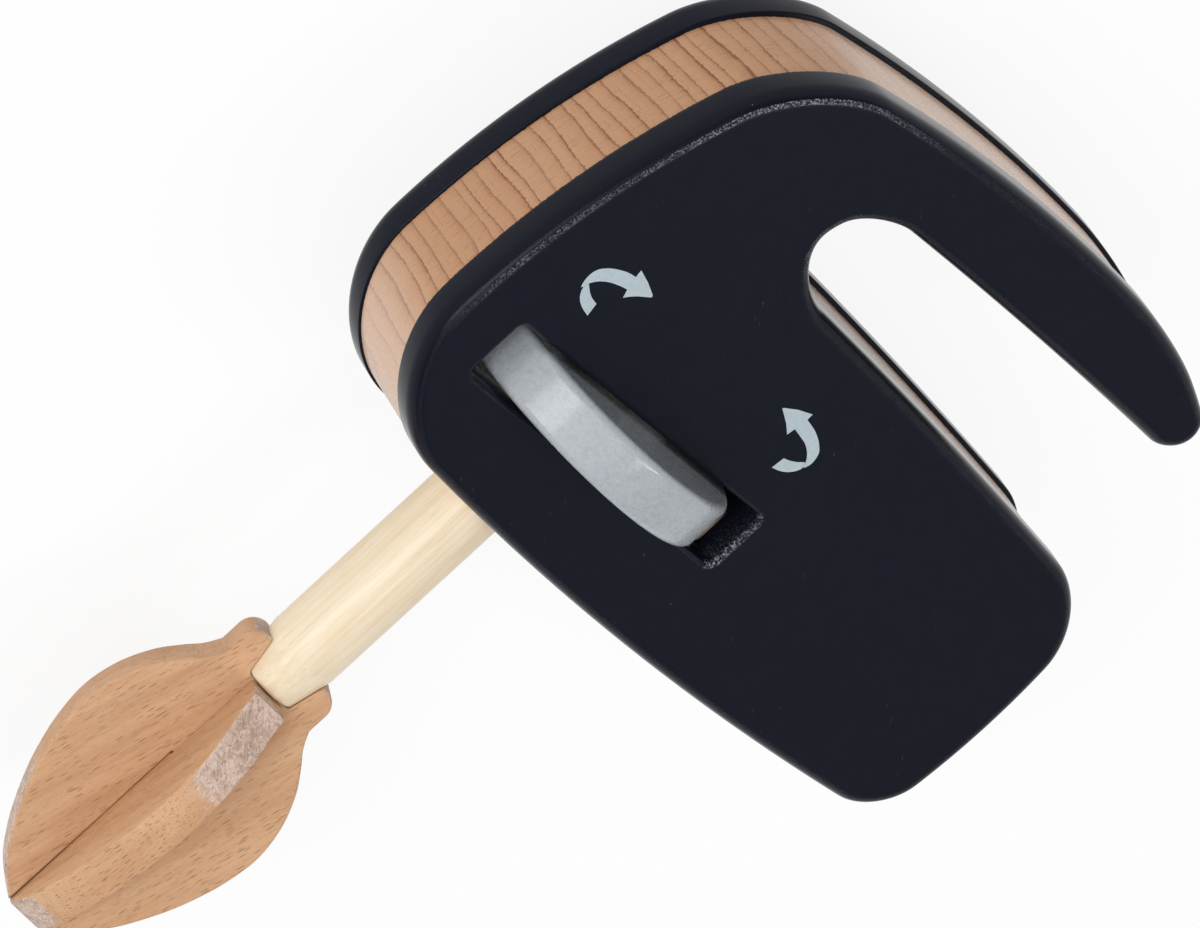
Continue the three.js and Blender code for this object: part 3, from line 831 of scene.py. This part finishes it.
def beech(name, grain):
    wood, tree, shader = newFinish(name, 0.55, 0.4)

    # Flecks are the middles of long thin cells, in two sizes and of uneven strength.
    def flecks(size, wide, narrow, least):
        cells = addNode(tree, "TexVoronoi", {"Vector": grainPlace(tree, size, grain), "Scale": 1})
        strength = addNode(tree, "SeparateColor", {"Color": cells.outputs["Color"]}).outputs["Red"]
        return times(tree, spread(tree, cells.outputs["Distance"], wide, narrow),
                     spread(tree, strength, least, 0.95))

    fleck = sums(tree, "MAXIMUM", flecks((0.34, 3.2, 0.34), 0.36, 0.2, 0.1),
                 times(tree, flecks((0.24, 1.7, 0.24), 0.36, 0.18, 0.4), 0.5))
    fibre = noise(tree, grainPlace(tree, (0.22, 8, 0.22), grain), 1, 3, 0.65)
    band = noise(tree, grainPlace(tree, (3.2, 60, 5), grain), 1, 3, 0.55)
    cloud = noise(tree, grainPlace(tree, (9, 16, 9), grain))
    layers = [(spread(tree, cloud, 0.4, 0.7), 0.3, "cloud"), (spread(tree, fibre, 0.52, 0.72), 0.32, "dark"),
              (spread(tree, fibre, 0.45, 0.3), 0.25, "pale")]
    base = coloured(tree, whisk["colours"], spread(tree, band, 0.32, 0.68), layers)

    # Sawn ends are pinkish grey and scribbled over by the saw, with a mottled border to the plain wood.
    endGrain = ownValue(tree, "endGrain")
    mottle = noise(tree, grainPlace(tree, (1.5, 1.5, 1.5)), 1, 4, 0.7, 0.8)
    layers = []
    for size, lean in whisk["scribbles"]:
        scribble = noise(tree, grainPlace(tree, size, Matrix.Rotation(lean, 3, (1, 1, 0))), distortion=1.5)
        scribble = spread(tree, sums(tree, "ABSOLUTE", sums(tree, "SUBTRACT", scribble, 0.5)), 0.022, 0.004)
        layers.append((scribble, 0.65, "scribble"))
    ends = coloured(tree, whisk["endColours"], spread(tree, mottle, 0.36, 0.62), layers)
    border = sums(tree, "MULTIPLY_ADD", sums(tree, "SUBTRACT", mottle, 0.5), 0.8, endGrain)
    base = blended(tree, times(tree, spread(tree, border, 0.25, 0.6), 0.88), base, ends)
    shown = times(tree, fleck, spread(tree, endGrain, 0.2, 0.7, 0.7, 0.15))  # fainter on sawn ends
    base = blended(tree, shown, base, whisk["colours"]["fleck"])
    height = sums(tree, "SUBTRACT", fibre, fleck)
    feed(shader, {"Base Color": base, "Roughness": spread(tree, fibre, 0.3, 0.7, 0.5, 0.62),
                  "Normal": bumped(tree, height, 0.3, 0.08)})
    return wood


# How squarely the wood's fibres meet the surface, from 0 along them to 1 across their cut ends.
def endGrainShare(grain):
    fibre = np.array(grain)[:, 1]

    def share(place, normal):
        least = np.interp(place[:, 1] - whisk["low"], whisk["endHeights"], whisk["endLeast"])
        return np.clip((np.abs(normal @ fibre) - least) * whisk["endGain"], 0, 1)

    return share


# The half outline of a leaf from its neck to the tip's corner.
def leafSide():
    through = [(whisk["ear"], whisk["top"])]
    through += [(out * whisk["radius"], whisk["top"] - down * whisk["height"]) for down, out in whisk["leaf"]]
    through.append((whisk["tip"] * whisk["radius"], whisk["low"]))
    return smoothCurve(through, whisk["steps"])


# The socket's profile as rows of (radius, height): the shaft's end, moved out by the fit all round.
def socketProfile():
    end, fit, (cornerSteps, wallSteps) = shaft["end"], whisk["fit"], whisk["socketSteps"]
    corner = quarterArc(shaft["taperEnd"] - end, shaft["low"] + end, end + fit, -math.pi / 2, cornerSteps)
    share = np.linspace(0, 1, wallSteps + 1)[1:, None]
    full = [shaft["radius"] + fit, shaft["low"] + shaft["taperLength"]]
    return np.concatenate([corner, (1 - share) * corner[-1] + share * full])


# One half of the eared board's outline at a height z off its middle plane, from the socket's floor round the ear
# and down the leaf to the notch. The socket is round, so its wall stands as far out as the square root of its
# radius squared less z squared.
def earedHalf(z):
    socket = socketProfile()
    wall = np.stack([np.sqrt(socket[:, 0] ** 2 - z**2), socket[:, 1]], axis=1)
    top, curve = shaft["low"] + whisk["earHeight"], whisk["earRound"]
    centre = np.array([whisk["ear"], top]) - curve
    start = math.acos((np.interp(top, wall[:, 1], wall[:, 0]) - centre[0]) / curve)
    angle = np.append(start, np.linspace(start - whisk["earStart"], 0, whisk["earSteps"]))
    ear = centre + curve * np.stack([np.cos(angle), np.sin(angle)], axis=1)
    leaf = leafSide()
    low = leaf[-1 : -len(leaf) // 3 : -1]
    mouth = (whisk["lapMouthHalf"], np.interp(whisk["lapMouthHalf"], low[:, 0], low[:, 1]))
    leaf = leaf[leaf[:, 1] > mouth[1] + whisk["cornerClear"]]
    notchTop, notchHalf = whisk["lap"] + whisk["fit"], whisk["lapHalf"]
    halfway = (mouth[1] + notchTop) / 2  # the notch is straight above this height and widens below it
    return np.concatenate([
        [(0, socket[0, 1])],
        wall[wall[:, 1] < ear[0, 1] - whisk["wallStop"]],
        ear,
        leaf,
        [mouth, (notchHalf, halfway), (notchHalf, notchTop), (0, notchTop)],
    ])


# One half of the crossing board's outline, from its notch's floor over the neck and down the leaf to the tip.
def crossingHalf(z):
    leaf = leafSide()
    neck, corner = leaf[0], leaf[-1]
    leaf = leaf[(leaf[:, 1] > corner[1] + whisk["cornerClear"]) & (leaf[:, 1] < neck[1] - whisk["cornerClear"])]
    return np.concatenate([
        [(0, whisk["lap"]), (whisk["lapHalf"], whisk["lap"]), (whisk["lapMouthHalf"], whisk["top"])],
        [neck],
        leaf,
        [corner, (0, whisk["low"])],
    ])


# A board of the whisk: at each height through its thickness its outline is drawn in by the edge's round, which
# gives rings, and flat sheets close both faces.
def makeBoard(name, node, halfOutline, turn, tilt):
    half, edge = whisk["half"], whisk["edge"]
    rows = quarterRound(edge, half, whisk["edgeSteps"])
    rows = np.concatenate([rows[::-1] * (-1, 1), rows])
    rings = []
    for z, inset in rows:
        right = halfOutline(z)
        loop = np.concatenate([right, right[-2:0:-1] * (-1, 1)])[::-1]
        rings.append(np.column_stack([loop - inset * cornerNormals(loop), np.full(len(loop), z)]))
    rings = np.array(rings)
    shells = [gridShell(rings), filledShell([rings[0]]), filledShell([rings[-1]])]
    shells = [(points @ np.array(turn).T, faces) for points, faces in shells]
    grain = turn @ Matrix.Rotation(tilt, 3, "Z")
    makePiece(name, shells, beech(name + "Beech", grain), "rotor", [node],
              attributes={"endGrain": endGrainShare(grain)})


earedTurn = Matrix.Rotation(whisk["turn"], 3, "Y")
crossingTurn = earedTurn @ Matrix.Rotation(math.pi / 2, 3, "Y")
makeBoard("whiskEaredBoard", "whisk_plate_eared", earedHalf, earedTurn, whisk["earedTilt"])
makeBoard("whiskCrossingBoard", "whisk_plate_crossing", crossingHalf, crossingTurn, whisk["crossingTilt"])

# Printed turning arrows on the front face: each is a curved tail and a curved band that ends in a head.
arrows = {
    "thickness": 0.05,
    "colours": {"low": (0.42, 0.5, 0.533, 1), "high": (0.462, 0.543, 0.575, 1)},
    # Steps along each curve.
    "steps": {"bandOuter": 60, "bandInner": 60, "tailOuter": 40, "tailInner": 30},
    "turnLeft": {
        "bandOuter": [(-33.9, 17.75), (-34.3, 18.6), (-34.6, 19.8), (-34.55, 21), (-34.1, 22.1), (-33.2, 23),
                      (-32, 23.8), (-30.4, 24.5), (-28.8, 25), (-26.95, 25.25)],
        "head": [(-27.25, 26.75), (-24.2, 25.9), (-21.3, 24.75), (-20.95, 24.4), (-21.2, 24.1), (-23.3, 22.9),
                 (-24.6, 21.9), (-25.45, 21)],
        "bandInner": [(-26.15, 22.6), (-28, 22.25), (-30, 21.65), (-31.6, 20.85), (-32.6, 20), (-33.25, 19.15),
                      (-33.5, 18.4), (-33.6, 18)],
        "tailOuter": [(-33.3, 18.95), (-33.5, 18.2), (-33.2, 17.3), (-32.4, 16.3), (-31.2, 15.5), (-29.7, 14.95),
                      (-28, 14.6)],
        "tailInner": [(-28.6, 17.2), (-30.3, 17.5), (-31.8, 18.15), (-33.1, 19)],
    },
    "turnRight": {
        "bandOuter": [(33.85, 18.25), (34.25, 19.2), (34.3, 20.2), (34, 21.3), (33.4, 22.3), (32.2, 23.2),
                      (30.6, 24.05), (28.6, 24.75), (25.75, 25.3)],
        "head": [(25.65, 26.65), (22.4, 25.6), (19.9, 24.3), (19.6, 24.05), (19.9, 23.85), (22.9, 22.4),
                 (25.1, 20.95)],
        "bandInner": [(25.35, 22.6), (27.5, 22.2), (29.6, 21.75), (31.2, 21), (32.4, 20.1), (33.2, 19.15),
                      (33.55, 18.4)],
        "tailOuter": [(33.15, 19.15), (33.55, 18.2), (33.5, 17.6), (32.9, 16.7), (31.8, 15.75), (30.3, 15.05),
                      (28.5, 14.65)],
        "tailInner": [(28.8, 17.3), (30.2, 17.65), (31.6, 18.25), (32.8, 19.05)],
    },
}


def arrowInk():
    ink, tree, shader = newFinish("paleArrowInk", 0.5, 0.3)
    mottle = noise(tree, grainPlace(tree), 1.2, 3, 0.6)
    feed(shader, {"Base Color": coloured(tree, arrows["colours"], spread(tree, mottle, 0.3, 0.7))})
    return ink


# A flat sheet with a square edge: a loop carried up by its thickness and closed with a sheet at each end.
def slab(loop, low, high):
    rings = carried(loop, np.zeros_like(loop), [(low, 0), (high, 0)])
    return [gridShell(rings), filledShell([rings[0]]), filledShell([rings[1]])]


def makeArrow(name, shape, ink):
    curves = {key: smoothCurve(shape[key], steps) for key, steps in arrows["steps"].items()}
    band = np.concatenate([curves["bandOuter"], shape["head"], curves["bandInner"]])
    tail = np.concatenate([curves["tailOuter"], curves["tailInner"]])
    low, high = body["face"], body["face"] + arrows["thickness"]
    makePiece(name, slab(band, low, high) + slab(tail, low, high), ink, "housing")


ink = arrowInk()
makeArrow("turnArrowLeft", arrows["turnLeft"], ink)
makeArrow("turnArrowRight", arrows["turnRight"], ink)

# The floor is a wide pale sheet under the mixer.
floor = {
    "half": 4,
    "drop": 0.0002,
    "whiteShare": 0.88,
    "colours": {"low": (0.93, 0.93, 0.925, 1), "high": (0.94, 0.94, 0.94, 1)},
}


def makeFloor():
    half, height = floor["half"], -floor["drop"]
    mesh = bpy.data.meshes.new("paleFloor")
    mesh.from_pydata([(-half, -half, height), (half, -half, height), (half, half, height), (-half, half, height)],
                     [], [(0, 1, 2, 3)])
    finish, tree, shader = newFinish("paleFloorPaint", 0.8, 0.2)
    feed(shader, {"Base Color": coloured(tree, floor["colours"], noise(tree, grainPlace(tree), 0.01))})

    # Seen directly or in a reflection, the floor is mostly plain white and keeps a share of its shadow.
    ray = addNode(tree, "LightPath").outputs
    seen = sums(tree, "MAXIMUM", ray["Is Camera Ray"],
                sums(tree, "MAXIMUM", ray["Is Glossy Ray"], ray["Is Transmission Ray"]))
    white = addNode(tree, "Emission", {"Color": (1, 1, 1, 1), "Strength": 1}).outputs["Emission"]
    feeds = {0: times(tree, seen, floor["whiteShare"]), 1: shader.outputs["BSDF"], 2: white}
    surface = addNode(tree, "MixShader", feeds).outputs["Shader"]
    feed(tree.nodes["Material Output"], {"Surface": surface})
    mesh.materials.append(finish)
    sheet = bpy.data.objects.new("paleFloor", mesh)
    bpy.context.scene.collection.objects.link(sheet)


makeFloor()
print("stage laid")

# Soft boxes: the way to each from the mixer's middle and the way its length runs, then its distance, its two
# sides and its power. The strip stands high over the handle, where the slope inside the brow's edge mirrors it.
lamps = {
    "topBox": {"towards": (-0.44, -0.12, 0.88), "along": (0, 1, 0),
               "distance": 1.5, "sides": (1.5, 1.5), "power": 8},
    "noseBox": {"towards": (-0.745, -0.16, 0.635), "along": (0, 1, 0),
                "distance": 1.6, "sides": (0.6, 0.6), "power": 7.2},
    "edgeStrip": {"towards": (0.35, 0.15, 0.92), "along": (0.575, 0.777, -0.247),
                  "distance": 1.5, "sides": (0.8, 0.1), "power": 5.6},
}
# The room is pale near the floor and grey overhead, between these two heights of a unit direction.
room = {"heights": (0.2, 0.6), "colours": {"low": (0.95, 0.95, 0.95, 1), "high": (0.24, 0.245, 0.26, 1)}}


def makeLights():
    aim = Vector((0, 0, 0.02))  # near the mixer's middle
    for name, lamp in lamps.items():
        light = bpy.data.lights.new(name, "AREA")
        light.shape = "RECTANGLE"
        light.size, light.size_y = lamp["sides"]
        light.energy = lamp["power"]
        holder = bpy.data.objects.new(name, light)
        towards = Vector(lamp["towards"]).normalized()
        across = towards.cross(Vector(lamp["along"])).normalized()
        turn = Matrix([across.cross(towards), across, towards]).transposed().to_4x4()
        holder.matrix_world = Matrix.Translation(aim + lamp["distance"] * towards) @ turn
        bpy.context.scene.collection.objects.link(holder)
    world = bpy.data.worlds.new("paleRoom")
    world.use_nodes = True
    tree = world.node_tree
    direction = addNode(tree, "TexCoord").outputs["Generated"]
    height = addNode(tree, "SeparateXYZ", {"Vector": direction}).outputs["Z"]
    colour = coloured(tree, room["colours"], spread(tree, height, *room["heights"]))
    feed(tree.nodes["Background"], {"Color": colour})
    bpy.context.scene.world = world


makeLights()

# The camera looks down on the front face from beyond the nose and the whisk.
camera = {
    "place": (-1.2226, 0.3048, 1.3171),
    "right": (0.5731, 0.728, 0.3763),
    "up": (-0.4641, 0.6668, -0.5832),
    "back": (-0.6754, 0.1596, 0.72),
    "lens": 303.0,
    "sensor": 36,
    "clip": (0.05, 30),
}


def makeCamera():
    lens = bpy.data.cameras.new("photoCamera")
    lens.sensor_width, lens.lens = camera["sensor"], camera["lens"]
    lens.clip_start, lens.clip_end = camera["clip"]
    viewer = bpy.data.objects.new("photoCamera", lens)
    turn = Matrix([camera["right"], camera["up"], camera["back"]]).transposed().to_4x4()
    viewer.matrix_world = Matrix.Translation(camera["place"]) @ turn
    bpy.context.scene.collection.objects.link(viewer)
    bpy.context.scene.camera = viewer


makeCamera()
bpy.context.scene.view_settings.view_transform = "Standard"
print("camera and lights set")
